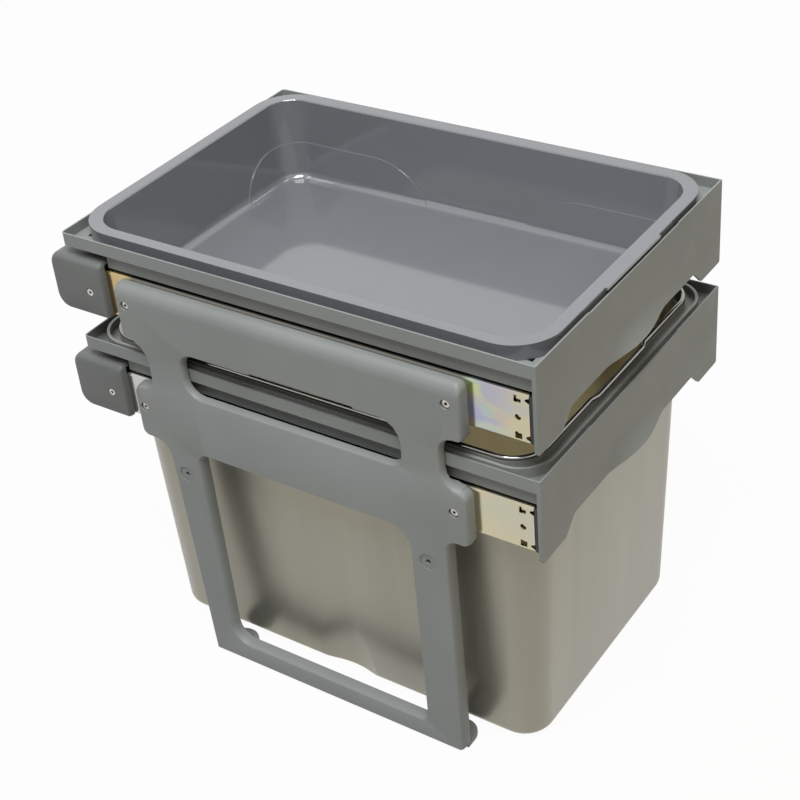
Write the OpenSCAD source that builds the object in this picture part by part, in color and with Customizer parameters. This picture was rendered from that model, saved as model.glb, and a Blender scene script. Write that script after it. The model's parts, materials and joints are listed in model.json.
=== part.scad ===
// Two-level pull out bin frame for a kitchen base cabinet.
// X is the width, the drawers pull out towards -Y, Z is up and the feet stand on Z = 0.

/* [Drawer frames] */
// outside width of each drawer frame
frame_w = 323; // [321:1:334]
// outside depth of each drawer frame, skirt face to rear rim
frame_d = 472; // [440:1:500]
// height of the upper frame's rim above the floor
rim_top = 437; // [425:1:470]
// distance from one level down to the next
level_pitch = 106; // [104:1:116]
// height of the rim band round each frame
rim_h = 12; // [10:0.5:14]
// wall thickness of the moulded frames
wall = 2.5; // [2:0.1:3]
// thickness of the rim band at its top
rim_t = 1.5; // [1.2:0.1:2]
// height of the front skirt at its ends
skirt_h = 81; // [76:1:86]
// height of the front skirt between its end legs
skirt_mid_h = 66; // [60:1:70]
// width of each end leg of the skirt
skirt_leg = 37.5; // [30:0.5:45]
// how far the pull lip stands out of the skirt
lip_out = 7.5; // [5:0.5:9]
// half of the pull lip's width
lip_half = 52; // [40:1:60]
// height over which the pull lip fades into the skirt
lip_rise = 22; // [14:1:30]
// how far the skirt's ends are turned back
skirt_return = 3.6; // [3:0.1:5]
// how far the lip that hangs over each slide stands inside the slide's outer face
guard_in = 3.2; // [2.5:0.1:5]
// thickness of that lip
guard_t = 1.6; // [1.2:0.1:2]
// radius of the rim's rear corners
rim_r = 4; // [2:0.5:8]

/* [Slides] */
// height of the cabinet member
slide_h = 45.7; // [43:0.1:48]
// thickness of the whole slide
slide_t = 12.7; // [12.7:0.1:14]
// sheet thickness of the cabinet and drawer members
sheet = 1.2; // [1:0.1:1.3]
// how far the slide's outer face sits inside the frame's rim
slide_inset = 3; // [2:0.5:6]
// depth of the slide's middle line below the rim
slide_drop = 52; // [50:0.5:54]
// square holes near the front end of the cabinet member
end_hole = 6.2; // [4:0.1:6.4]
// ball diameter
ball_d = 3; // [2.6:0.1:3.2]
// balls in each row
balls_row = 8; // [4:1:12]
// pull out travel
travel = 430; // [300:5:430]
// running gap between members, cages and balls
run_gap = 0.3; // [0.25:0.05:0.4]

/* [Side brackets] */
// depth of the moulded bracket
bracket_t = 11.5; // [10:0.5:14]
// depth of the rear housing's outer plate
house_t = 7; // [6:0.5:9]
// shell thickness of the moulding
shell = 3; // [2.5:0.25:3.5]
// depth of the rolled edge
roll = 8; // [6:0.5:9]
// width of the rolled top edge
top_roll = 12; // [8:0.5:14]
// half of the bracket's length at its ears
ear_half = 175; // [168:1:180]
// half of the window's and the slot's length
open_half = 112; // [100:1:114]
// height of the bottom bar
bar_h = 22; // [18:0.5:28]
// radius of the foot's round end
foot_r = 16.5; // [14:0.5:17]
// thickness of the foot
foot_t = 3; // [2.5:0.25:4]
// hole in each foot
foot_hole = 5; // [4:0.1:6]
// fixing hole in each leg
leg_hole = 5; // [4:0.1:6]
// depth of the fixing holes below the upper rim
leg_hole_drop = 221; // [200:1:240]
// space between the bracket and the rear housings
house_gap = 16.5; // [8:0.5:20]
// how far the bracket screws' heads lie below the face
screw_sink = 1.6; // [0.4:0.1:2.5]

/* [Tray and bin] */
// inside depth of the tray below its rim
tray_depth = 81; // [70:1:81]
// rounding of the tray rim's inner edge
tray_round = 1.5; // [1:0.5:4]
// how far the tray's rim stands above the frame's rim
tray_proud = 4; // [3:0.5:5]
// wall thickness of tray and bin
tub_wall = 2; // [1.6:0.1:2.2]
// gap between the bin's floor and the ground
bin_clear = 3; // [3:0.5:10]
// radius of the bin's bottom edge
bin_edge = 9; // [6:1:14]
// depth of the finger recess at the foot of the bin's long sides
grip_in = 8; // [4:0.5:12]
// height at which the finger recess runs out
grip_h = 84; // [60:1:110]
// wire of the bag ring
wire_d = 4; // [3:0.1:5]

/* [Hidden] */
fit = 0.2;
pass_gap = 1.5;
web_x = frame_w/2 - slide_inset;
side_x = web_x - slide_t;
hole_x = side_x - wall;
hole_y = frame_d/2 - 13;
ledge_drop = rim_h - wall;
slide_z = rim_top - slide_drop;
slide_front = -frame_d/2 + 8.5;
slide_back = frame_d/2 - 13.5;
mid_h = slide_h - 2*sheet - 2*ball_d - 4*run_gap + 0.4;
mid_sheet = 1;
in_h = mid_h - 2*mid_sheet - 2*ball_d - 4*run_gap + 0.4;
mid_u = sheet + 2*run_gap + 0.6;
cage_u = sheet + run_gap;
cage2_u = mid_u + mid_sheet + run_gap;
cage_t = 0.6;
cab_flange = slide_t - 2.7;
mid_flange = slide_t - 3.9;
draw_flange = slide_t - 5.3;
outer_cage_w = mid_flange - 2.4;
inner_cage_w = draw_flange - 1.4;
bumper_u = slide_t - draw_flange - run_gap;
bumper_t = 2.6;
outer_row = slide_h/2 - sheet - run_gap + 0.1 - ball_d/2;
inner_row = mid_h/2 - mid_sheet - run_gap + 0.1 - ball_d/2;
cage_len = 196;
guard_x = web_x - guard_in;
guard_low = slide_h/2 - slide_drop + pass_gap;
end_hole_y = slide_front + 10.2;
mid_front = slide_front + 5.5;
mid_back = slide_back - 7.5;
draw_front = slide_front + 1.5;
draw_back = slide_back - 0.5;
ear_rear = ear_half + 2;
ear_front = -ear_half + 2;
ear_screw_rear = ear_half - 8;
ear_screw_front = -ear_half + 15.5;
leg_front = -ear_half + 24;
leg_rear = ear_half - 41;
notch_y = ear_half - 24;
house_front = ear_rear + house_gap;
house_back = frame_d/2 + 18;
house_top = slide_h/2 + 8;
house_low = -slide_h/2 - 1;
house_in = 11.5;
house_screw = house_front + (slide_back - house_front)*0.586;
foot_front_y = leg_front + foot_r;
foot_rear_y = leg_rear - foot_r;
foot_x = web_x - 7;
leg_edge = ear_half - 27;
leg_hole_y = (open_half + leg_edge)/2;
leg_hole_z = rim_top - leg_hole_drop;
notch_hi = slide_z - 34;
notch_lo = slide_z - level_pitch + 23;
low_bar = slide_z - level_pitch - 33;
tray_top = rim_top + tray_proud;
tray_hx = hole_x + 9.4;
tray_hy = frame_d/2 - rim_t - 2.2;
tray_ix = hole_x - 2.6;
tray_iy = hole_y - 3.3;
tray_floor = tray_top - tray_depth;
bin_seat = rim_top - level_pitch - ledge_drop + fit;
bin_hx = hole_x - 1;
bin_hy = frame_d/2 - 17;
bin_rim_hx = hole_x + 12.7;
bin_rim_hy = frame_d/2 - rim_t - 4;
rib_hx = hole_x + 4.5;
rib_hy = hole_y - 4;
bead_h = ledge_drop - 0.7;
draft = 0.027;
front_lean = 0.015;
wire_z = bin_seat + bead_h - 0.5 + fit + wire_d/2;
grey = [0.44, 0.445, 0.43];
dark_grey = [0.37, 0.375, 0.36];
tray_grey = [0.40, 0.41, 0.42];
silver = [0.60, 0.575, 0.52];
zinc = [0.80, 0.74, 0.55];
bright = [0.75, 0.75, 0.73];
black = [0.05, 0.05, 0.05];

// Outlines with rounded corners: each point is [y, z, corner radius, roll width of the edge that follows].
function left_of(v) = [-v[1], v[0]];
function edge_dir(p, i) = let (n = len(p), a = p[i], b = p[(i + 1) % n],
    d = [b[0] - a[0], b[1] - a[1]]) d/norm(d);
function meet(p1, d1, p2, d2) = let (c = d1[0]*d2[1] - d1[1]*d2[0], w = p2 - p1)
    p1 + d1*((w[0]*d2[1] - w[1]*d2[0])/c);
function corner(p, i, s) = let (n = len(p), h = (i + n - 1) % n, e1 = edge_dir(p, h), e2 = edge_dir(p, i),
    here = [p[i][0], p[i][1]])
    meet(here + left_of(e1)*p[h][3]*s, e1, here + left_of(e2)*p[i][3]*s, e2);
function arc_pts(p, i, s, n) = let (m = len(p), h = (i + m - 1) % m, e1 = edge_dir(p, h), e2 = edge_dir(p, i),
    turn = e1[0]*e2[1] - e1[1]*e2[0], sg = turn > 0 ? 1 : -1,
    phi = acos(max(-1, min(1, e1*e2))), mean = (p[h][3] + p[i][3])/2,
    r = max(0.4, p[i][2] - sg*mean*s), c = corner(p, i, s), t = r*tan(phi/2),
    st = c - e1*t, ctr = st + left_of(e1)*r*sg, v = st - ctr)
    [for (k = [0 : n]) let (a = sg*phi*k/n) ctr + [v[0]*cos(a) - v[1]*sin(a), v[0]*sin(a) + v[1]*cos(a)]];
function outline(p, s, n) = [for (i = [0 : len(p) - 1]) each arc_pts(p, i, s, n)];

// A plate from x = 0 to x = depth whose outer edge is rolled by steps of a quarter round.
module rolled(p, depth, rise, n = 4, steps = 4, way = 1, back = 0, over = 0) {
    rings = concat([[-back, 0]],
        [for (k = [0 : steps]) [depth - rise + rise*sin(90*k/steps), 1 - cos(90*k/steps)]],
        over > 0 ? [[depth + over, 1]] : []);
    m = len(outline(p, 0, n));
    pts = [for (r = rings) each [for (q = outline(p, way*r[1], n)) [r[0], q[0], q[1]]]];
    sides = [for (j = [0 : len(rings) - 2]) each [for (i = [0 : m - 1])
        [j*m + i, (j + 1)*m + i, (j + 1)*m + (i + 1) % m, j*m + (i + 1) % m]]];
    caps = [[for (i = [0 : m - 1]) i], [for (i = [m - 1 : -1 : 0]) (len(rings) - 1)*m + i]];
    polyhedron(points = pts, faces = concat(sides, caps), convexity = 10);
}

// A prism on the same outline, drawn in by inset on all sides.
module plate(p, x0, x1, inset, n = 3)
    translate([x0, 0, 0])
        rotate([90, 0, 90])
            linear_extrude(x1 - x0)
                polygon(outline([for (q = p) [q[0], q[1], q[2], 1]], inset, n));

bracket_pts = [
    [leg_front, 0, 5, 1.5], [leg_rear + 1, 0, 1.5, 2], [leg_rear + 11.5, low_bar - 22, 16, 2],
    [leg_rear + 15, low_bar, 14, 2],
    [ear_rear - 1, low_bar, 8, 2], [ear_rear - 1, notch_lo, 9, 3],
    [notch_y + 2, notch_lo, 12, 3], [notch_y + 2, notch_hi, 22, 2], [ear_rear, notch_hi, 5, 2],
    [ear_rear, slide_z + 20, 5, top_roll], [ear_front, slide_z + 20, 7, 2],
    [ear_front, notch_hi, 5, 2], [-notch_y, notch_hi, 14, 3], [-notch_y, notch_lo, 16, 4],
    [ear_front, notch_lo, 9, 2.5], [ear_front, low_bar, 6, 2],
    [leg_front, low_bar, 10, 2.5]
];
slot_pts = [
    [-open_half, notch_lo + 6.5, 12, 3], [open_half, notch_lo + 6.5, 16, 4],
    [open_half, notch_hi, 14, 2], [36, notch_hi, 1, 2], [35, notch_hi + 2, 1, 2],
    [-68, notch_hi + 2, 1, 2], [-69, notch_hi, 1, 2], [-open_half, notch_hi, 18, 2]
];
window_pts = [
    [-open_half - 1, bar_h, 8, 3], [open_half - 4, bar_h, 18, 4],
    [open_half - 1, low_bar - 2, 10, 2], [-open_half - 1, low_bar - 2, 20, 2]
];

function ear_screws() =
    [for (z = [slide_z, slide_z - level_pitch], y = [ear_screw_rear, ear_screw_front]) [y, z]];
function leg_holes() = [for (y = [-leg_hole_y, leg_hole_y]) [y, leg_hole_z]];

module along_x(x, y, z, r, h)
    translate([x, y, z])
        rotate([0, 90, 0])
            cylinder(r = r, h = h, $fn = 40);

module bracket() color(grey) difference() {
    union() {
        translate([web_x, 0, 0])
            difference() {
                intersection() {
                    rolled(bracket_pts, bracket_t, roll, 4, 4, 1, 0.5, 0.5);
                    translate([0, -ear_half - 20, -10])
                        cube([bracket_t, 2*ear_half + 40, rim_top]);
                }
                difference() {
                    plate(bracket_pts, -2, bracket_t - shell, shell + roll*0.4);
                    plate([for (k = [0, 1, 2, 7]) slot_pts[k]], -3, bracket_t, -shell - 2);
                    plate(window_pts, -3, bracket_t, -shell - 2);
                    for (q = ear_screws())
                        along_x(-3, q[0], q[1], 8, bracket_t + 1);
                    for (q = leg_holes())
                        along_x(-3, q[0], q[1], 9, bracket_t + 1);
                    translate([-3, -ear_half, -1])
                        cube([bracket_t + 1, 2*ear_half, foot_t + 4]);
                }
                rolled(slot_pts, bracket_t, roll, 4, 4, -1, 2, 1);
                rolled(window_pts, bracket_t, roll, 4, 4, -1, 2, 1);
            }
        for (y = [foot_front_y, foot_rear_y]) {
            intersection() {
                translate([foot_x, y, 0])
                    cylinder(r = foot_r, h = foot_t, $fn = 64);
                translate([foot_x - foot_r - 1, y - foot_r - 1, 0])
                    cube([foot_r + 3, 2*foot_r + 2, foot_t]);
            }
            translate([foot_x, y - foot_r, 0])
                cube([web_x + 4 - foot_x, 2*foot_r, foot_t]);
        }
    }
    for (q = ear_screws()) {
        along_x(web_x - 1, q[0], q[1], 2.2, bracket_t + 2);
        along_x(web_x + bracket_t - screw_sink - head_h, q[0], q[1], head_r + 1, bracket_t);
    }
    for (q = leg_holes()) {
        along_x(web_x - 1, q[0], q[1], leg_hole/2, bracket_t + 2);
        along_x(web_x + bracket_t - 0.9, q[0], q[1], 8, 4);
    }
    for (y = [foot_front_y, foot_rear_y])
        translate([foot_x, y, -1])
            cylinder(r = foot_hole/2, h = foot_t + 2, $fn = 40);
    translate([web_x - 1, -ear_half - 10, notch_lo + 2])
        cube([slide_inset + pass_gap + 1, 2*ear_half + 20, notch_hi - notch_lo - 4]);
}

// A square tube section with two rounded corners, for the bent sheet members.
module bent(h, w, r) {
    translate([r, -h/2])
        square([w - r, h]);
    translate([0, -h/2 + r])
        square([r + 0.01, h - 2*r]);
    for (s = [-1, 1])
        translate([r, s*(h/2 - r)])
            circle(r = r, $fn = 32);
}

// A channel of bent sheet lying along Y, its web at u = u0 and its flanges w wide.
module channel(y0, y1, u0, h, w, t, r, lip)
    translate([0, y1, 0])
        rotate([90, 0, 0])
            linear_extrude(y1 - y0)
                translate([u0, 0]) {
                    difference() {
                        bent(h, w, r);
                        translate([t, 0])
                            bent(h - 2*t, w, r - t > 0.3 ? r - t : 0.3);
                    }
                    if (lip > 0)
                        for (s = [-1, 1])
                            translate([w - t, s > 0 ? h/2 - t - lip : -h/2])
                                square([t, t + lip]);
                }

// Places a slide piece on the right side of the level whose middle line is at z; u runs inwards.
module seat(z)
    translate([web_x, 0, z])
        mirror([1, 0, 0])
            children();

module cabinet_member(z) color(zinc) seat(z) difference() {
    channel(slide_front, slide_back, 0, slide_h, cab_flange, sheet, 2.6, 1);
    for (w = [-16.7, 16.7])
        translate([-1, end_hole_y - end_hole/2, w - end_hole/2])
            cube([sheet + 2, end_hole, end_hole]);
    along_x(-1, end_hole_y, 0, end_hole*0.44, sheet + 2);
    for (s = [-1, 1])
        translate([-1, slide_front, s*17.2])
            rotate([0, 90, 0])
                linear_extrude(sheet + 2)
                    polygon([[-3, -1], [-0.8, 3.6], [0.8, 3.6], [3, -1]]);
    for (y = [ear_screw_rear, ear_screw_front])
        along_x(-1, y, 0, 2, sheet + 2);
    along_x(-1, house_screw, 0, 2, sheet + 2);
}

module middle_member(z) color(zinc) seat(z)
    channel(mid_front, mid_back, mid_u, mid_h, mid_flange, mid_sheet, 2, 0);

module drawer_member(z) color(zinc) seat(z)
    translate([slide_t, 0, 0])
        mirror([1, 0, 0])
            difference() {
                channel(draw_front, draw_back, 0, in_h, draw_flange, sheet, 2, 0);
                for (y = rivet_ys())
                    along_x(-1, y, 0, 2, sheet + 2);
            }

function rivet_ys() = [-frame_d/2 + 56, -20, frame_d/2 - 76];
function ball_ys() = [for (i = [0 : balls_row - 1]) -cage_len/2 + 10 + i*(cage_len - 20)/(balls_row - 1)];
cage_y = -6;

// A sheet strip that keeps one row of balls at the top and one at the bottom.
module cage(z, u0, row, w) color(bright) seat(z) difference() {
    union() {
        translate([u0, cage_y - cage_len/2, -row - cage_t/2])
            cube([cage_t, cage_len, 2*row + cage_t]);
        for (s = [-1, 1])
            translate([u0, cage_y - cage_len/2, s*row - cage_t/2])
                cube([w, cage_len, cage_t]);
    }
    for (s = [-1, 1], y = ball_ys())
        translate([u0 + w/2 + 0.6, cage_y + y, s*row - 2])
            cylinder(d = ball_d + 2*run_gap, h = 4, $fn = 24);
}

module balls(z, u0, row, w) color(bright) seat(z)
    for (s = [-1, 1], y = ball_ys())
        translate([u0 + w/2 + 0.6, cage_y + y, s*row])
            sphere(d = ball_d, $fn = 16);

module outer_cage(z) cage(z, cage_u, outer_row, outer_cage_w);
module inner_cage(z) cage(z, cage2_u, inner_row, inner_cage_w);
module outer_balls(z) balls(z, cage_u, outer_row, outer_cage_w);
module inner_balls(z) balls(z, cage2_u, inner_row, inner_cage_w);

// The end bumper of the middle member stops against the cabinet member's front end.
module bumper(z) color(black) seat(z) {
    translate([run_gap, slide_front - run_gap - bumper_t, -slide_h/2 + 0.8])
        cube([bumper_u - run_gap, bumper_t, slide_h - 1.6]);
    translate([mid_u, slide_front - run_gap - 1, -mid_h/2])
        cube([bumper_u - mid_u, mid_front - slide_front + run_gap + 1, mid_h]);
}

module rivets(z) color(bright) seat(z)
    for (y = rivet_ys()) {
        along_x(slide_t - sheet - 1.2, y, 0, 3.4, 1.2);
        along_x(slide_t - sheet, y, 0, 2, sheet + wall);
    }

house_pts = [
    [house_front, house_low, 2, 2], [house_back, house_low, 14, 4],
    [house_back, house_top, 11, 5.5], [house_front, house_top, 4, 2.5]
];

module rear_housing(z) color(dark_grey) translate([web_x, 0, z]) difference() {
    rolled(house_pts, house_t, 5.5, 5, 4, 1, house_in);
    translate([-house_in - 1, house_front - 1, house_low - 1])
        cube([house_in + 1, slide_back + 3.5 - house_front + 1, house_top - house_low - 2]);
    along_x(-1, house_screw, 0, 2.2, house_t + 2);
    along_x(house_t - head_h - 0.2, house_screw, 0, head_r + 0.7, house_t);
}

module buffer(z) color(black) seat(z)
    translate([sheet + 1.2, slide_back, -5])
        cube([7, 3.5, 10]);

head_r = 3.5;
head_h = 1.8;
socket_w = 3;
socket_h = 1.4;

// Socket head screw along +X whose head top is at x.
module screw(x, y, z, reach) difference() {
    union() {
        along_x(x - head_h, y, z, head_r, head_h);
        along_x(x - reach, y, z, 2, reach - head_h + 0.1);
    }
    translate([x - socket_h, y, z])
        rotate([0, 90, 0])
            cylinder(d = socket_w, h = head_h, $fn = 6);
}

module both() {
    children();
    mirror([1, 0, 0])
        children();
}

module bracket_screws() color(bright) both()
    for (q = ear_screws())
        screw(web_x + bracket_t - screw_sink, q[0], q[1], bracket_t - screw_sink + sheet);

module housing_screws() color(bright) both()
    for (z = [slide_z, slide_z - level_pitch])
        screw(web_x + house_t - 0.2, house_screw, z, house_t - 0.2 + sheet);

skirt_step = skirt_h - skirt_mid_h;
dip_half = 78;
dip = 1;
function skirt_pts() = let (a = frame_w/2, b = a - skirt_leg) [
    [-a, -skirt_h, 2, 1], [-b, -skirt_h, 4, 1], [-b + skirt_step, -skirt_mid_h, 7, 1],
    [b - skirt_step, -skirt_mid_h, 7, 1], [b, -skirt_h, 4, 1], [a, -skirt_h, 2, 1],
    [a, 0, 0.5, 1], [dip_half + 1, 0, 0.5, 1], [dip_half, -dip, 0.5, 1],
    [-dip_half, -dip, 0.5, 1], [-dip_half - 1, 0, 0.5, 1], [-a, 0, 0.5, 1]
];

// How far the lip stands out at x; f runs from 0 at its foot to 1 where it fades into the skirt.
function swell(x, f) = lip_out*pow(max(0, 1 - pow(x/lip_half, 2)), 1.5)*pow(1 - f, 2);

// The pull lip is a patch of the skirt's wall that swells out towards its foot.
module lip(front, cols = 20, rows = 6) {
    n = cols + 1;
    inner = n*(rows + 1);
    top = n*rows;
    pts = [for (y = [front, front + wall], j = [0 : rows], i = [0 : cols])
        let (x = lip_half*(2*i/cols - 1)) [x, y - swell(x, j/rows), -skirt_mid_h + lip_rise*j/rows]];
    skins = [for (j = [0 : rows - 1], i = [0 : cols - 1]) let (a = j*n + i, b = inner + a)
        each [[a, a + n, a + n + 1], [a, a + n + 1, a + 1], [b, b + 1, b + n + 1], [b, b + n + 1, b + n]]];
    foot_and_head = [for (i = [0 : cols - 1]) let (a = top + i)
        each [[i, i + 1, inner + i + 1, inner + i], [a, inner + a, inner + a + 1, a + 1]]];
    ends = [for (j = [0 : rows - 1]) let (a = j*n, b = a + cols)
        each [[a, inner + a, inner + a + n, a + n], [b, b + n, inner + b + n, inner + b]]];
    polyhedron(points = pts, faces = concat(skins, foot_and_head, ends), convexity = 4);
}

// The skirt is flat but for its pull lip, and its ends are turned back.
module skirt() {
    front = -frame_d/2;
    difference() {
        translate([0, front + wall, 0])
            rotate([90, 0, 0])
                linear_extrude(wall)
                    polygon(outline(skirt_pts(), 0, 5));
        translate([-frame_w/2 - 1, front + rim_t, -ledge_drop])
            cube([frame_w + 2, wall, rim_h]);
        translate([-lip_half, front - 1, -skirt_mid_h - 1])
            cube([2*lip_half, wall + 2, lip_rise + 1]);
    }
    lip(front);
    for (s = [-1, 1])
        translate([s > 0 ? frame_w/2 - wall : -frame_w/2, front, -skirt_h + 2])
            cube([wall, skirt_return, skirt_h - rim_h - 1]);
}

// A block with square front corners and rounded rear corners, for the rim.
module rim_block(inset, z, h)
    translate([0, 0, z])
        linear_extrude(h)
            polygon(let (a = frame_w/2 - inset, b = frame_d/2 - inset, r = max(0.5, rim_r - inset))
                outline([[-a, -b, 0.3, 1], [a, -b, 0.3, 1], [a, b, r, 1], [-a, b, r, 1]], 0, 5));

module frame(top) color(grey) translate([0, 0, top]) {
    difference() {
        union() {
            rim_block(0, -rim_h, rim_h);
            translate([-side_x, -hole_y - wall, -slide_drop - 20])
                cube([2*side_x, 2*(hole_y + wall), slide_drop + 20 - rim_h + 1]);
            for (s = [-1, 1])
                translate([s*(guard_x - guard_t/2) - guard_t/2, -frame_d/2 + wall/2, guard_low])
                    cube([guard_t, house_front - pass_gap + frame_d/2 - wall/2, -rim_h - guard_low + 1]);
        }
        rim_block(rim_t, -ledge_drop, rim_h + 1);
        translate([-hole_x, -hole_y, -slide_drop - 21])
            cube([2*hole_x, 2*hole_y, slide_drop + 30]);
        translate([-hole_x + 40, -hole_y - wall - 1, -slide_drop - 21])
            cube([2*hole_x - 80, 2*(hole_y + wall + 1), 30]);
        translate([-dip_half, -frame_d/2 - 1, -dip])
            cube([2*dip_half, wall + 2, dip + 1]);
        for (s = [-1, 1], y = rivet_ys())
            translate([s*(side_x - wall/2), y, -slide_drop])
                rotate([0, 90, 0])
                    cylinder(r = 2, h = wall + 1, center = true, $fn = 40);
    }
    skirt();
}

// A thin rounded slab, the building block of the moulded tubs.
module slab(hx, hy, r, z, fore = 0)
    for (sx = [-1, 1], sy = [-1, 1])
        translate([sx*(hx - r), sy*(hy - r) + (sy < 0 ? fore : 0), z])
            cylinder(r = r, h = 0.02, $fn = 40);

// A tub form: straight drafted sides between floor and top, with a rounded bottom edge.
module tub_form(hx, hy, r, top, floor, lean, edge, fore = 0) hull() {
    slab(hx, hy, r, top);
    for (k = [0 : 4]) {
        z = floor + edge*(1 - cos(22.5*k));
        i = lean*(top - z) + edge*(1 - sin(22.5*k));
        slab(hx - i, hy - i, max(4, r - i*0.7), z, fore*(top - z));
    }
}

module rim_plate(hx, hy, r, z, h) {
    translate([-hx, -hy + r, z])
        cube([2*hx, 2*(hy - r), h]);
    translate([-hx + r, -hy, z])
        cube([2*(hx - r), 2*hy, h]);
    for (sx = [-1, 1], sy = [-1, 1])
        translate([sx*(hx - r), sy*(hy - r), z])
            cylinder(r = r, h = h, $fn = 64);
}

tray_lean = 0.062;
tray_r = 40;
panel_step = 1.5;

// Corner panels of the tray: an arch seen from the side, cut to an arch seen from the end.
module panel_arch(half, len, h, r)
    translate([half - len, 0])
        polygon(outline([[0, -1, 1, 1], [len + 20, -1, 1, 1], [len + 20, h, 1, 1], [r*0.35, h, r, 1]], 0, 8));

module corner_panels(hx, hy)
    for (sx = [0, 1], sy = [0, 1])
        mirror([sx, 0, 0])
            mirror([0, sy, 0])
                intersection() {
                    translate([0, 0, tray_floor])
                        rotate([90, 0, 90])
                            linear_extrude(hx + 20)
                                panel_arch(hy, 168, tray_depth*0.46, 70);
                    translate([0, hy + 20, tray_floor])
                        rotate([90, 0, 0])
                            linear_extrude(hy + 20)
                                panel_arch(hx, 80, tray_depth*0.46, 44);
                }

// The rounded inner edge of the tray's rim, cut in two steps.
module rim_round() {
    hull() {
        slab(tray_ix + tray_round, tray_iy + tray_round, 33, tray_top + 0.02);
        slab(tray_ix + tray_round*0.4, tray_iy + tray_round*0.4, 31, tray_top - tray_round*0.3);
    }
    hull() {
        slab(tray_ix + tray_round*0.4, tray_iy + tray_round*0.4, 31, tray_top - tray_round*0.3);
        slab(tray_ix - 0.3, tray_iy - 0.3, 29, tray_top - tray_round);
    }
}

module tray() color(tray_grey) {
    seat_z = rim_top - ledge_drop + fit;
    difference() {
        union() {
            rim_plate(tray_hx, tray_hy, tray_r, tray_top - tub_wall - 0.4, tub_wall + 0.4);
            difference() {
                rim_plate(tray_hx, tray_hy, tray_r, seat_z, tray_top - seat_z - 0.5);
                rim_plate(tray_hx - 2, tray_hy - 2, tray_r - 2, seat_z - 1, tray_top - seat_z + 1 - tub_wall);
            }
            translate([-46, -tray_hy - 2.2, tray_top - 2.4])
                cube([92, 8.2, 2.4]);
            tub_form(tray_ix + tub_wall, tray_iy + tub_wall, 31, tray_top - 0.5,
                tray_floor - tub_wall, tray_lean, 8);
        }
        tub_form(tray_ix - panel_step, tray_iy - panel_step, 28, tray_top + 0.02, tray_floor, tray_lean, 7);
        difference() {
            tub_form(tray_ix, tray_iy, 29, tray_top + 0.02, tray_floor + 0.4, tray_lean, 7);
            corner_panels(tray_ix, tray_iy);
        }
        rim_round();
    }
}

grip_r = 75;

// The finger recess at the foot of each long side is cut by a leaning round bar.
module grip(r)
    for (s = [-1, 1])
        translate([s*(bin_hx - draft*(bin_seat - bin_clear) - grip_in + grip_r), 0, bin_clear])
            rotate([0, s*atan(grip_in/grip_h + draft), 0])
                translate([0, 0, -grip_h])
                    cylinder(r = r, h = 3*grip_h, $fn = 96);

module bin() color(silver) {
    difference() {
        union() {
            rim_plate(bin_rim_hx, bin_rim_hy, 32, bin_seat, bead_h);
            difference() {
                tub_form(bin_hx, bin_hy, 34, bin_seat + 1, bin_clear, draft, bin_edge, front_lean);
                grip(grip_r);
            }
        }
        difference() {
            rim_plate(bin_rim_hx - 2.6, bin_rim_hy - 2.6, 29.4, bin_seat + tub_wall, bead_h);
            rim_plate(rib_hx + 2, rib_hy + 2, 32, bin_seat - 1, bead_h + 0.5);
        }
        rim_plate(rib_hx - 2, rib_hy - 2, 29, bin_seat + tub_wall, bead_h);
        difference() {
            tub_form(bin_hx - tub_wall, bin_hy - tub_wall, 32, bin_seat + tub_wall + 0.02,
                bin_clear + tub_wall, draft, bin_edge - 2, front_lean);
            grip(grip_r + tub_wall);
        }
    }
}

module rod(a, b) {
    d = b - a;
    translate(a)
        rotate([0, acos(d[2]/norm(d)), atan2(d[1], d[0])])
            cylinder(d = wire_d, h = norm(d), $fn = 24);
}

module bend(p) translate(p) sphere(d = wire_d + 0.06, $fn = 24);

// The ring follows the flange; its front run steps out into a short grip.
module bag_ring() color(bright) translate([0, 0, wire_z]) {
    hx = rib_hx;
    hy = rib_hy;
    r = 30;
    for (sx = [-1, 1], sy = [-1, 1])
        translate([sx*(hx - r), sy*(hy - r), 0])
            rotate([0, 0, sx > 0 ? (sy > 0 ? 0 : 270) : (sy > 0 ? 90 : 180)])
                rotate_extrude(angle = 90, $fn = 96)
                    translate([r, 0])
                        circle(d = wire_d, $fn = 24);
    for (s = [-1, 1])
        rod([s*hx, -hy + r, 0], [s*hx, hy - r, 0]);
    rod([-hx + r, hy, 0], [hx - r, hy, 0]);
    for (s = [-1, 1]) {
        rod([s*(hx - r), -hy, 0], [s*48, -hy, 0]);
        rod([s*48, -hy, 0], [s*40, -hy - 3, 0.6]);
        bend([s*48, -hy, 0]);
        bend([s*40, -hy - 3, 0.6]);
    }
    rod([-40, -hy - 3, 0.6], [40, -hy - 3, 0.6]);
}

// The overall middle of the part's depth lies at Y = 0.
mid_y = (house_back - frame_d/2 - lip_out)/2;

module place()
    translate([0, -mid_y, 0])
        children();

module left()
    mirror([1, 0, 0])
        children();

up = slide_z;
low = slide_z - level_pitch;

place() left() bracket();  // left_bracket
place() bracket();  // right_bracket
place() left() cabinet_member(up);  // upper_left_cabinet_member
place() cabinet_member(up);  // upper_right_cabinet_member
place() left() cabinet_member(low);  // lower_left_cabinet_member
place() cabinet_member(low);  // lower_right_cabinet_member
place() left() rear_housing(up);  // upper_left_rear_housing
place() rear_housing(up);  // upper_right_rear_housing
place() left() rear_housing(low);  // lower_left_rear_housing
place() rear_housing(low);  // lower_right_rear_housing
place() both() {  // rear_buffers
    buffer(up);
    buffer(low);
}
place() bracket_screws();
place() housing_screws();
place() frame(rim_top);  // upper_frame
place() left() drawer_member(up);  // upper_left_drawer_member
place() drawer_member(up);  // upper_right_drawer_member
place() both() rivets(up);  // upper_rivets
place() left() middle_member(up);  // upper_left_middle_member
place() middle_member(up);  // upper_right_middle_member
place() both() bumper(up);  // upper_bumpers
place() left() outer_cage(up);  // upper_left_outer_cage
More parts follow.
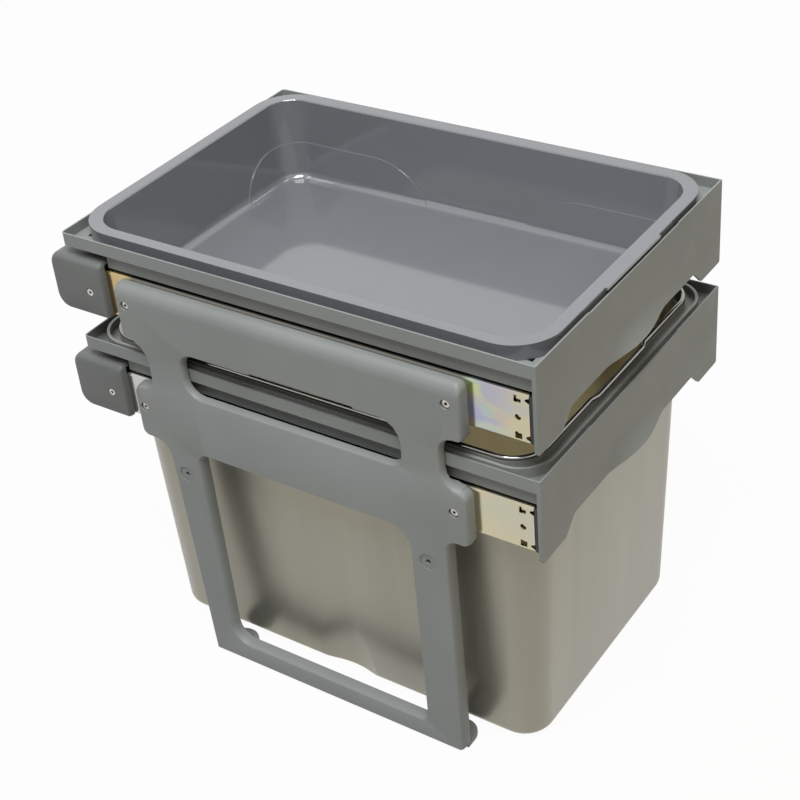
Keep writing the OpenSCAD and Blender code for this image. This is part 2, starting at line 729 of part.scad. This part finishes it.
place() outer_cage(up);  // upper_right_outer_cage
place() both() outer_balls(up);  // upper_outer_balls
place() left() inner_cage(up);  // upper_left_inner_cage
place() inner_cage(up);  // upper_right_inner_cage
place() both() inner_balls(up);  // upper_inner_balls
place() tray();
place() frame(rim_top - level_pitch);  // lower_frame
place() left() drawer_member(low);  // lower_left_drawer_member
place() drawer_member(low);  // lower_right_drawer_member
place() both() rivets(low);  // lower_rivets
place() left() middle_member(low);  // lower_left_middle_member
place() middle_member(low);  // lower_right_middle_member
place() both() bumper(low);  // lower_bumpers
place() left() outer_cage(low);  // lower_left_outer_cage
place() outer_cage(low);  // lower_right_outer_cage
place() both() outer_balls(low);  // lower_outer_balls
place() left() inner_cage(low);  // lower_left_inner_cage
place() inner_cage(low);  // lower_right_inner_cage
place() both() inner_balls(low);  // lower_inner_balls
place() bin();
place() bag_ring();
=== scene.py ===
import json
import math

import bpy
from mathutils import Matrix, Vector

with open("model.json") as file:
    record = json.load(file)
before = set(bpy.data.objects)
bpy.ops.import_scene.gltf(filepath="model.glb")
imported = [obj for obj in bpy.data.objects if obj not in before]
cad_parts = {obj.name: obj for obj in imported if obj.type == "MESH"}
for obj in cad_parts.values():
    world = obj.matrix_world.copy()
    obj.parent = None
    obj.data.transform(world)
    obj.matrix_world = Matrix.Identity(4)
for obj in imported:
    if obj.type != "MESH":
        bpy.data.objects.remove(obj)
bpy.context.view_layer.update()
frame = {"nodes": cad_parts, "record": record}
nodes_by_name = frame["nodes"]

# Camera of the reference view: place in metres, angles in degrees, focal length and sensor in mm
CAMERA_PLACE = Vector((-1.00562, -0.74590, 1.09411))
CAMERA_AZIMUTH = -53.306
CAMERA_ELEVATION = 34.55
CAMERA_ROLL = -5.645
CAMERA_LENS = 73.26
SENSOR = 36.0

# Angle between faces above which an edge counts as a real edge, and the gap in metres that is welded
EDGE_ANGLE = math.radians(32)
WELD = 1e-6

# Lamps: places and size in metres, power in watts
LAMP_AIM = (0, 0, 0.3)
LAMP_SIZE = 1.2
KEY_PLACE = (-0.85, -0.37, 2.4)
KEY_POWER = 62
KEY_COLOUR = (0.955, 0.98, 1.0)
FILL_PLACE = (1.3, 1.1, 1.1)
FILL_POWER = 13
FILL_COLOUR = (1, 1, 1)

# Light of the room: warmer from the front, brighter from above
WHITE = (1, 1, 1, 1)
WARM_FRONT = (0.9, 0.81, 0.56, 1)
FRONT_TO_SIDE = (-0.9, 0.1)
HORIZON_LEVEL = 0.1
ZENITH_LEVEL = 0.9

# Floor: half its width and the zone where its warm front ends in metres, and how white it is where seen
FLOOR_HALF = 6.0
FLOOR_FRONT = (-0.6, -0.1)
FLOOR_SEEN_WHITE = 0.96
WARM_FLOOR = (0.49, 0.44, 0.31, 1)
PLAIN_FLOOR = (0.42, 0.42, 0.42, 1)

# Zones of the finishes in metres: how far from an edge of the piece each change starts and is complete
CLOUDS_FROM_SLIDE_FRONT = (0.01075, 0.04275)
REAR_FROM_SLIDE_FRONT = (0.18275, 0.38275)
# Zones of the painted shade on the slide's bend beside the bracket
SHADE_FROM_BRACKET_FRONT = (-0.00375, 0.00425)
SHADE_FROM_BRACKET_REAR = (-0.00575, -0.01375)
SHADE_FROM_SLIDE_TOP = (-0.00335, -0.00235)
FLANGE_FROM_BIN_TOP = (-0.009, -0.0085)
SOCKET_FROM_SCREW_FACE = (-0.0004, -0.0001)

# Height above every piece, for a finish that has no painted shade on its bend
ABOVE_ALL = 1.0

# A noise stays mostly between these two values
NOISE_LOW = 0.3
NOISE_HIGH = 0.7

# Sockets of the mix node that take and give colours
MIX_FIRST = 6
MIX_SECOND = 7
MIX_RESULT = 2


# Lowest and highest place of a CAD node along one of its axes
def reach(name, axis):
    index = "XYZ".index(axis)
    places = [v.co[index] for v in nodes_by_name[name].data.vertices]
    return min(places), max(places)


def offset(place, distances):
    return [place + distance for distance in distances]


SLIDE_FRONT = reach("upper_left_cabinet_member", "Y")[0]
UPPER_SLIDE_TOP = reach("upper_left_cabinet_member", "Z")[1]
LOWER_SLIDE_TOP = reach("lower_left_cabinet_member", "Z")[1]
BRACKET_FRONT, BRACKET_REAR = reach("left_bracket", "Y")
BIN_TOP = reach("bin", "Z")[1]


# Colours are written as the sRGB values that they should show
def srgb(r, g, b):
    def linear(v):
        v = v / 255
        return v / 12.92 if v <= 0.04045 else ((v + 0.055) / 1.055) ** 2.4

    return (linear(r), linear(g), linear(b), 1.0)


GOLD = srgb(208, 184, 122)
CREAM = srgb(199, 189, 156)
PALE = srgb(190, 186, 168)
ROSE = srgb(200, 183, 172)
LAVENDER = srgb(166, 163, 190)
LIME = srgb(184, 197, 142)
MINT = srgb(168, 188, 182)
OLD_GOLD = srgb(190, 160, 104)
COOL = srgb(192, 195, 200)
# Painted shade: dark grey for the slide's bend beside the bracket
BRACKET_SHADE_GREY = srgb(118, 116, 110)
SCREW_ZINC = srgb(198, 195, 184)


# Small builders for shader nodes
def new_material(name):
    mat = bpy.data.materials.new(name)
    mat.use_nodes = True
    tree = mat.node_tree
    return mat, tree, tree.nodes["Principled BSDF"]


def coordinates(tree, space):
    coord = tree.nodes.new("ShaderNodeTexCoord")
    split = tree.nodes.new("ShaderNodeSeparateXYZ")
    tree.links.new(coord.outputs[space], split.inputs["Vector"])
    return split.outputs


def object_noise(tree, scale, detail, stretch=(1, 1, 1), shift=(0, 0, 0)):
    coord = tree.nodes.new("ShaderNodeTexCoord")
    mapping = tree.nodes.new("ShaderNodeMapping")
    mapping.inputs["Scale"].default_value = stretch
    mapping.inputs["Location"].default_value = shift
    tree.links.new(coord.outputs["Object"], mapping.inputs["Vector"])
    noise = tree.nodes.new("ShaderNodeTexNoise")
    noise.inputs["Scale"].default_value = scale
    noise.inputs["Detail"].default_value = detail
    tree.links.new(mapping.outputs["Vector"], noise.inputs["Vector"])
    return noise.outputs["Fac"]


def colour_ramp(tree, fac, first, second, start=0.0, end=1.0):
    ramp = tree.nodes.new("ShaderNodeValToRGB")
    low_stop, high_stop = ramp.color_ramp.elements
    low_stop.position = start
    low_stop.color = first
    high_stop.position = end
    high_stop.color = second
    tree.links.new(fac, ramp.inputs["Fac"])
    return ramp.outputs["Color"]


def spread(tree, fac, low, high, start=0.0, end=1.0):
    remap = tree.nodes.new("ShaderNodeMapRange")
    remap.inputs["From Min"].default_value = start
    remap.inputs["From Max"].default_value = end
    remap.inputs["To Min"].default_value = low
    remap.inputs["To Max"].default_value = high
    tree.links.new(fac, remap.inputs["Value"])
    return remap.outputs["Result"]


def blend(tree, fac, first, second):
    mix = tree.nodes.new("ShaderNodeMix")
    mix.data_type = "RGBA"
    tree.links.new(fac, mix.inputs["Factor"])
    tree.links.new(first, mix.inputs[MIX_FIRST])
    tree.links.new(second, mix.inputs[MIX_SECOND])
    return mix.outputs[MIX_RESULT]


def calculate(tree, operation, *values):
    step = tree.nodes.new("ShaderNodeMath")
    step.operation = operation
    for socket, value in zip(step.inputs, values):
        tree.links.new(value, socket)
    return step.outputs["Value"]


def add_bump(tree, bsdf, height, strength, distance):
    bump = tree.nodes.new("ShaderNodeBump")
    bump.inputs["Strength"].default_value = strength
    bump.inputs["Distance"].default_value = distance
    tree.links.new(height, bump.inputs["Height"])
    tree.links.new(bump.outputs["Normal"], bsdf.inputs["Normal"])


# 0 before a zone along an axis of the object, 1 past it
def zone(tree, axis, edge, distances):
    start, end = offset(edge, distances)
    return spread(tree, coordinates(tree, "Object")[axis], low=0, high=1, start=start, end=end)


def noisy_value(tree, noise, low, high):
    return spread(tree, noise, low, high, NOISE_LOW, NOISE_HIGH)


def shade(colour, factor):
    return tuple(c * factor for c in colour[:3]) + (1.0,)


def noisy_colour(tree, noise, colour, low, high):
    return colour_ramp(tree, noise, shade(colour, low), shade(colour, high), NOISE_LOW, NOISE_HIGH)


# Moulded plastic: faint cloudiness in colour and gloss, with a fine moulded grain
def moulded(name, colour, rough, grain=0.12, cloud=0.05, ior=1.5):
    mat, tree, bsdf = new_material(name)
    bsdf.inputs["IOR"].default_value = ior
    cloudy = object_noise(tree, scale=11, detail=3)
    tree.links.new(noisy_colour(tree, cloudy, colour, 1 - cloud, 1 + cloud), bsdf.inputs["Base Color"])
    wiped = object_noise(tree, scale=40, detail=2, shift=(3, 1, 2))
    tree.links.new(noisy_value(tree, wiped, rough * 0.92, rough * 1.08), bsdf.inputs["Roughness"])
    grainy = object_noise(tree, scale=1500, detail=2)
    add_bump(tree, bsdf, grainy, strength=grain, distance=0.0002)
    return mat


# Thin plastic with metallic pigment: fine flakes, soft upright streaks and some light through the walls,
# under a flange painted plain neutral grey: painted reflection of the grey level above, and painted light
# for the dark gap between the levels
def metallic_moulding(name, colour, flange, rough, metallic, translucent):
    mat, tree, bsdf = new_material(name)
    bsdf.inputs["Subsurface Radius"].default_value = (1.0, 0.77, 0.47)
    bsdf.inputs["Subsurface Scale"].default_value = 0.034
    streak = object_noise(tree, scale=6, detail=3, stretch=(6, 6, 0.35))
    wall = noisy_colour(tree, streak, colour, low=0.95, high=1.05)
    # Painted reflection and painted light: the flange's neutral grey
    top = noisy_colour(tree, streak, flange, low=0.97, high=1.03)
    above = zone(tree, "Z", BIN_TOP, FLANGE_FROM_BIN_TOP)
    tree.links.new(blend(tree, above, wall, top), bsdf.inputs["Base Color"])
    tree.links.new(spread(tree, above, low=metallic, high=0), bsdf.inputs["Metallic"])
    tree.links.new(spread(tree, above, low=translucent, high=0), bsdf.inputs["Subsurface Weight"])
    flakes = object_noise(tree, scale=2600, detail=1)
    tree.links.new(noisy_value(tree, flakes, rough - 0.04, rough + 0.04), bsdf.inputs["Roughness"])
    add_bump(tree, bsdf, flakes, strength=0.06, distance=0.0001)
    return mat


# Yellow passivated zinc: soft clouds of tint over a base that drifts between two colours in front and two
# at the rear. The bend at the slide's top is painted a darker grey where it lies along the bracket:
# painted shade for the bracket's shadow and the dark frame that the bend reflects
def passivated(name, front, rear, clouds, slide_top, shift):
    mat, tree, bsdf = new_material(name)
    bsdf.inputs["Metallic"].default_value = 1.0
    drift = object_noise(tree, scale=30, detail=2, stretch=(1, 0.6, 1), shift=shift)
    behind = zone(tree, "Y", SLIDE_FRONT, REAR_FROM_SLIDE_FRONT)
    bases = [colour_ramp(tree, drift, *pair, start=0.35, end=0.65) for pair in (front, rear)]
    colour = blend(tree, behind, *bases)
    past_front = spread(tree, zone(tree, "Y", SLIDE_FRONT, CLOUDS_FROM_SLIDE_FRONT), low=0.3, high=1)
    before_rear = spread(tree, behind, low=1, high=0.1)
    clouded = calculate(tree, "MULTIPLY", past_front, before_rear)
    for k, (tint, amount) in enumerate(clouds):
        place = (k + shift[0], 2 * k, shift[2] - k)
        cloud = object_noise(tree, scale=55, detail=1.5, stretch=(1, 0.55, 1.1), shift=place)
        patches = spread(tree, cloud, low=0, high=amount, start=0.44, end=0.6)
        share = calculate(tree, "MULTIPLY", patches, clouded)
        colour = blend(tree, share, colour, colour_ramp(tree, drift, tint, shade(tint, 1.04)))
    # Painted shade: the bend beside the bracket turns a darker grey, for the bracket's shadow and the
    # dark reflections on the bend
    past_edge = zone(tree, "Y", BRACKET_FRONT, SHADE_FROM_BRACKET_FRONT)
    before_edge = zone(tree, "Y", BRACKET_REAR, SHADE_FROM_BRACKET_REAR)
    beside_bracket = calculate(tree, "MULTIPLY", past_edge, before_edge)
    bend = calculate(tree, "MULTIPLY", zone(tree, "Z", slide_top, SHADE_FROM_SLIDE_TOP), beside_bracket)
    colour = blend(tree, bend, colour, colour_ramp(tree, drift, BRACKET_SHADE_GREY, shade(BRACKET_SHADE_GREY, 1.05)))
    tree.links.new(colour, bsdf.inputs["Base Color"])
    tree.links.new(noisy_value(tree, drift, low=0.13, high=0.17), bsdf.inputs["Roughness"])
    return mat


# Bare bright metal: colour and roughness vary a little along the piece
def bright_metal(name, colour, rough):
    mat, tree, bsdf = new_material(name)
    bsdf.inputs["Metallic"].default_value = 1.0
    cloudy = object_noise(tree, scale=60, detail=3)
    tree.links.new(noisy_colour(tree, cloudy, colour, low=0.93, high=1.05), bsdf.inputs["Base Color"])
    tree.links.new(noisy_value(tree, cloudy, rough, rough * 1.5), bsdf.inputs["Roughness"])
    return mat


# Screws: bright heads whose sockets, below the heads' face, are painted near black as the shade inside
# the recess
def socket_screws(name, colour, rough):
    mat, tree, bsdf = new_material(name)
    bsdf.inputs["Metallic"].default_value = 1.0
    outward = calculate(tree, "ABSOLUTE", coordinates(tree, "Object")["X"])
    start, end = offset(reach(name, "X")[1], SOCKET_FROM_SCREW_FACE)
    deep = spread(tree, outward, low=1, high=0, start=start, end=end)
    cloudy = object_noise(tree, scale=300, detail=2)
    head = noisy_colour(tree, cloudy, colour, low=0.95, high=1.04)
    # Painted shade: the socket below the head's face is near black
    painted_socket_shade = noisy_colour(tree, cloudy, colour, low=0.03, high=0.05)
    tree.links.new(blend(tree, deep, head, painted_socket_shade), bsdf.inputs["Base Color"])
    tree.links.new(noisy_value(tree, cloudy, rough, rough * 1.4), bsdf.inputs["Roughness"])
    return mat


# Finishes of the slides' members, the tray and the bin. Only the members at the brackets have painted
# shade on their bend
ZINC_UPPER = passivated(
    "zinc_upper",
    front=(GOLD, CREAM),
    rear=(OLD_GOLD, GOLD),
    clouds=[(ROSE, 0.6), (LIME, 0.8), (MINT, 0.8), (LAVENDER, 0.9)],
    slide_top=UPPER_SLIDE_TOP,
    shift=(0.2, 0.1, 0.0),
)
ZINC_LOWER = passivated(
    "zinc_lower",
    front=(CREAM, PALE),
    rear=(COOL, PALE),
    clouds=[(ROSE, 0.25), (LIME, 0.15)],
    slide_top=LOWER_SLIDE_TOP,
    shift=(1.3, 0.4, 2.0),
)
ZINC_INNER = passivated(
    "zinc_inner",
    front=(CREAM, PALE),
    rear=(CREAM, GOLD),
    clouds=[(ROSE, 0.15), (LIME, 0.12)],
    slide_top=ABOVE_ALL,
    shift=(0.7, 0.9, 1.0),
)
TRAY = moulded("tray_moulding", srgb(102, 104, 108), rough=0.08, grain=0.006, cloud=0.03, ior=1.95)
BIN = metallic_moulding(
    "bin_moulding",
    colour=srgb(161, 155, 138),
    # Flange grey: painted reflection of the level above and painted light between the levels
    flange=srgb(140, 142, 139),
    rough=0.32,
    metallic=0.5,
    translucent=0.85,
)

# Finish of each material slot other than the slides' zinc
FINISH = {
    "grey_moulding": moulded("grey_moulding", srgb(123, 126, 125), rough=0.46, ior=1.33),
    "housing_grey": moulded("housing_moulding", srgb(98, 100, 99), rough=0.5, grain=0.2, ior=1.36),
    "tray_grey": TRAY,
    "bin_silver": BIN,
    "zinc_bright": bright_metal("bright_zinc", srgb(205, 203, 192), rough=0.25),
    "chrome_wire": bright_metal("wire_chrome", srgb(158, 157, 152), rough=0.1),
    "ball_steel": bright_metal("ball_steel", srgb(196, 196, 196), rough=0.1),
    "black_plastic": moulded("black_moulding", srgb(24, 24, 25), rough=0.45),
    "buffer_rubber": moulded("buffer_rubber", srgb(26, 26, 27), rough=0.7),
}

# Softened edge of each material slot that has one, in metres
EDGE = {"grey_moulding": 0.0004, "housing_grey": 0.0006, "bin_silver": 0.0005,
        "black_plastic": 0.0002, "buffer_rubber": 0.0003}


def finish_of(name, slot):
    if name.endswith("_screws"):
        return socket_screws(name, SCREW_ZINC, rough=0.25)
    if slot != "zinc_yellow":
        return FINISH[slot]
    if not name.endswith("cabinet_member"):
        return ZINC_INNER
    return ZINC_UPPER if name.startswith("upper") else ZINC_LOWER


# One node group welds the facets of a solid and shades its curved faces smooth
def smoothing_group():
    group = bpy.data.node_groups.new("smooth_faces", "GeometryNodeTree")
    group.interface.new_socket("Geometry", in_out="INPUT", socket_type="NodeSocketGeometry")
    group.interface.new_socket("Geometry", in_out="OUTPUT", socket_type="NodeSocketGeometry")
    start = group.nodes.new("NodeGroupInput")
    end = group.nodes.new("NodeGroupOutput")
    weld = group.nodes.new("GeometryNodeMergeByDistance")
    weld.inputs["Distance"].default_value = WELD
    faces = group.nodes.new("GeometryNodeSetShadeSmooth")
    faces.domain = "FACE"
    edges = group.nodes.new("GeometryNodeSetShadeSmooth")
    edges.domain = "EDGE"
    edges.inputs["Shade Smooth"].default_value = False
    angle = group.nodes.new("GeometryNodeInputMeshEdgeAngle")
    sharp = group.nodes.new("FunctionNodeCompare")
    sharp.data_type = "FLOAT"
    sharp.operation = "GREATER_THAN"
    sharp.inputs["B"].default_value = EDGE_ANGLE
    group.links.new(start.outputs[0], weld.inputs["Geometry"])
    group.links.new(weld.outputs["Geometry"], faces.inputs["Geometry"])
    group.links.new(faces.outputs["Geometry"], edges.inputs["Geometry"])
    group.links.new(angle.outputs["Unsigned Angle"], sharp.inputs["A"])
    group.links.new(sharp.outputs["Result"], edges.inputs["Selection"])
    group.links.new(edges.outputs["Geometry"], end.inputs[0])
    return group


SMOOTH = smoothing_group()


# Material, smooth curved faces, and then soft edges or normals that follow the large faces
def dress(obj, material, edge):
    obj.data.materials.clear()
    obj.data.materials.append(material)
    smooth = obj.modifiers.new("smooth_faces", "NODES")
    smooth.node_group = SMOOTH
    if not edge:
        even = obj.modifiers.new("even_normals", "WEIGHTED_NORMAL")
        even.keep_sharp = True
    else:
        bevel = obj.modifiers.new("soft_edges", "BEVEL")
        bevel.limit_method = "ANGLE"
        bevel.angle_limit = EDGE_ANGLE
        bevel.width = edge
        bevel.segments = 2
        bevel.use_clamp_overlap = True
        bevel.harden_normals = True


for part in frame["record"]["subparts"]:
    node, material_slot = part["node"], part["material_slot"]
    dress(nodes_by_name[node], finish_of(node, material_slot), EDGE.get(material_slot, 0))


# 1 for camera, glossy and transmission rays, 0 for the rays that carry light
def seen_directly(tree):
    path = tree.nodes.new("ShaderNodeLightPath").outputs
    seen = calculate(tree, "MAXIMUM", path["Is Camera Ray"], path["Is Glossy Ray"])
    return calculate(tree, "MAXIMUM", seen, path["Is Transmission Ray"])


# Floor that looks white, keeps a faint shadow and sends back a grey light, warmer in front
def pale_floor():
    mesh = bpy.data.meshes.new("floor")
    corners = [(x * FLOOR_HALF, y * FLOOR_HALF, 0) for x, y in ((-1, -1), (1, -1), (1, 1), (-1, 1))]
    mesh.from_pydata(corners, [], [(0, 1, 2, 3)])
    floor = bpy.data.objects.new("floor", mesh)
    bpy.context.scene.collection.objects.link(floor)
    mat, tree, bsdf = new_material("pale_floor")
    behind = zone(tree, "Y", 0, FLOOR_FRONT)
    tree.links.new(colour_ramp(tree, behind, WARM_FLOOR, PLAIN_FLOOR), bsdf.inputs["Base Color"])
    bsdf.inputs["Roughness"].default_value = 0.9
    bsdf.inputs["Specular IOR Level"].default_value = 0.1
    glow = tree.nodes.new("ShaderNodeEmission")
    glow.inputs["Strength"].default_value = 1.0
    mix = tree.nodes.new("ShaderNodeMixShader")
    tree.links.new(spread(tree, seen_directly(tree), low=0, high=FLOOR_SEEN_WHITE), mix.inputs["Fac"])
    tree.links.new(bsdf.outputs["BSDF"], mix.inputs[1])
    tree.links.new(glow.outputs["Emission"], mix.inputs[2])
    tree.links.new(mix.outputs["Shader"], tree.nodes["Material Output"].inputs["Surface"])
    mesh.materials.append(mat)


# White where it is seen, and the light of the room for the rays that carry light
def studio_world():
    world = bpy.data.worlds.new("studio")
    world.use_nodes = True
    bpy.context.scene.world = world
    tree = world.node_tree
    back = tree.nodes["Background"]
    direction = coordinates(tree, "Generated")
    front, past_front = FRONT_TO_SIDE
    side = spread(tree, direction["Y"], low=0, high=1, start=front, end=past_front)
    light = colour_ramp(tree, side, WARM_FRONT, WHITE)
    white = colour_ramp(tree, side, WHITE, WHITE)
    tree.links.new(blend(tree, seen_directly(tree), light, white), back.inputs["Color"])
    level = tree.nodes.new("ShaderNodeMapRange")
    overhead = spread(tree, direction["Z"], low=HORIZON_LEVEL, high=ZENITH_LEVEL)
    tree.links.new(overhead, level.inputs["To Min"])
    level.inputs["To Max"].default_value = 1.0
    tree.links.new(seen_directly(tree), level.inputs["Value"])
    tree.links.new(level.outputs["Result"], back.inputs["Strength"])


def soft_box(name, place, power, colour, mirrored):
    lamp = bpy.data.lights.new(name, "AREA")
    lamp.shape = "RECTANGLE"
    lamp.size = LAMP_SIZE
    lamp.size_y = LAMP_SIZE
    lamp.energy = power
    lamp.color = colour
    obj = bpy.data.objects.new(name, lamp)
    obj.visible_glossy = mirrored
    obj.location = place
    obj.rotation_mode = "QUATERNION"
    obj.rotation_quaternion = (Vector(LAMP_AIM) - Vector(place)).to_track_quat("-Z", "Y")
    bpy.context.scene.collection.objects.link(obj)


def reference_camera():
    a, e, r = (math.radians(v) for v in (CAMERA_AZIMUTH, CAMERA_ELEVATION, CAMERA_ROLL))
    back = Vector((math.sin(a) * math.cos(e), -math.cos(a) * math.cos(e), math.sin(e)))
    level_right = Vector((math.cos(a), math.sin(a), 0))
    level_up = back.cross(level_right)
    right = level_right * math.cos(r) + level_up * math.sin(r)
    up = level_up * math.cos(r) - level_right * math.sin(r)
    data = bpy.data.cameras.new("camera")
    data.lens = CAMERA_LENS
    data.sensor_width = SENSOR
    camera = bpy.data.objects.new("camera", data)
    turn = Matrix((right, up, back)).transposed().to_4x4()
    camera.matrix_world = Matrix.Translation(CAMERA_PLACE) @ turn
    bpy.context.scene.collection.objects.link(camera)
    bpy.context.scene.camera = camera


pale_floor()
studio_world()
soft_box("key", KEY_PLACE, KEY_POWER, KEY_COLOUR, mirrored=True)
soft_box("fill", FILL_PLACE, FILL_POWER, FILL_COLOUR, mirrored=False)
reference_camera()
bpy.context.scene.view_settings.view_transform = "Standard"
